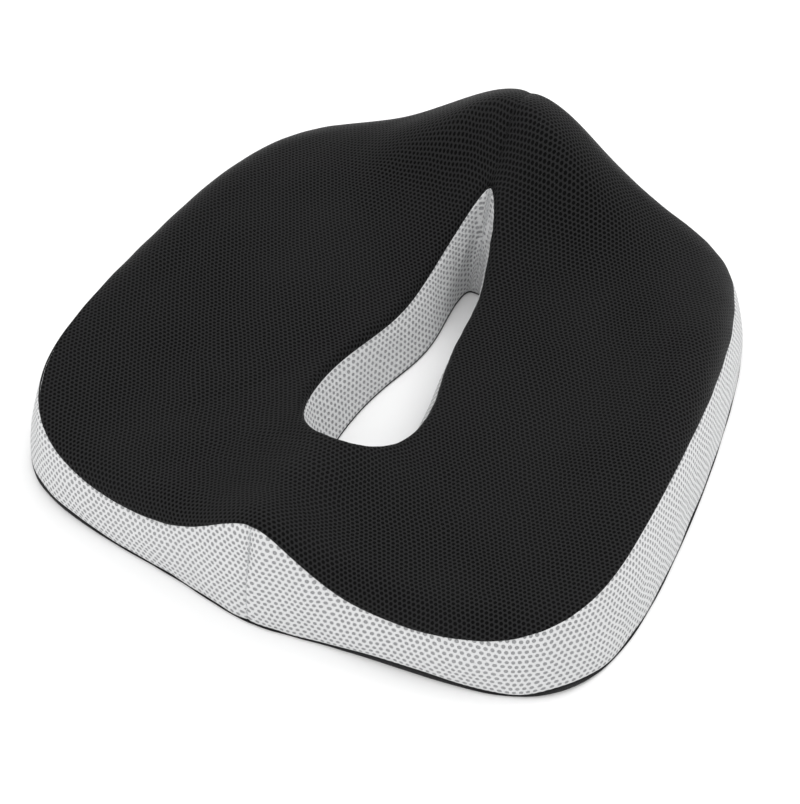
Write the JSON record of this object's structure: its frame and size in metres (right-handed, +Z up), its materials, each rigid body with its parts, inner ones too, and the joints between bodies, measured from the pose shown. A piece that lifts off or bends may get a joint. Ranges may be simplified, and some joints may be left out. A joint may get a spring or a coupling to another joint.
{
  "type": "seat cushion",
  "caption": "Contoured memory-foam seat cushion with a teardrop tailbone opening, raised rear, thigh grooves and a zipped air-mesh cover.",
  "frame": {"origin": "middle of the footprint, on the surface the cushion rests on", "axes": "+Z up, -Y the front edge with the two thigh lobes, +Y the raised rear, X across the seat"},
  "size_m": [0.4078, 0.4155, 0.1264],
  "materials": {
    "foam": "fine open-cell memory foam",
    "black_mesh": "black three-layer air mesh with small round holes",
    "grey_mesh": "light grey air mesh with larger holes",
    "base_cloth": "black woven cloth with rubber grip dots",
    "black_thread": "black sewing thread",
    "grey_thread": "grey sewing thread",
    "zip_tape": "black woven zip tape",
    "zip_coil": "black nylon coil",
    "zip_metal": "black painted die-cast zinc"
  },
  "bodies": {
    "cushion": {"foam_core": "foam", "top_panel": "black_mesh", "side_band_right": "grey_mesh", "side_band_left": "grey_mesh", "hole_lining": "grey_mesh", "base_panel": "base_cloth", "rim_seam": "black_thread", "hole_seam": "black_thread", "base_seam": "black_thread", "hole_base_seam": "black_thread", "rear_closing_seam": "black_thread", "front_band_seam": "grey_thread", "rear_band_seam": "grey_thread", "lining_seam": "grey_thread", "zipper_tape_front": "zip_tape", "zipper_tape_rear": "zip_tape", "zipper_coil_front": "zip_coil", "zipper_coil_rear": "zip_coil", "zipper_top_stops": "zip_metal", "zipper_bottom_stop": "zip_metal", "zipper_end_guards": "base_cloth"},
    "slider": {"zipper_slider": "zip_metal"},
    "pull": {"zipper_pull": "zip_metal"}
  },
  "joints": [
    {"name": "zip_slide", "type": "slide", "parent": "cushion", "child": "slider", "axis": [1, 0, 0], "range_m": [-0.232, 0]},
    {"name": "pull_hinge", "type": "hinge", "parent": "slider", "child": "pull", "pos_m": [0.116, -0.16, 0.00195], "axis": [0, -1, 0], "range_deg": [0, 175]}
  ]
}
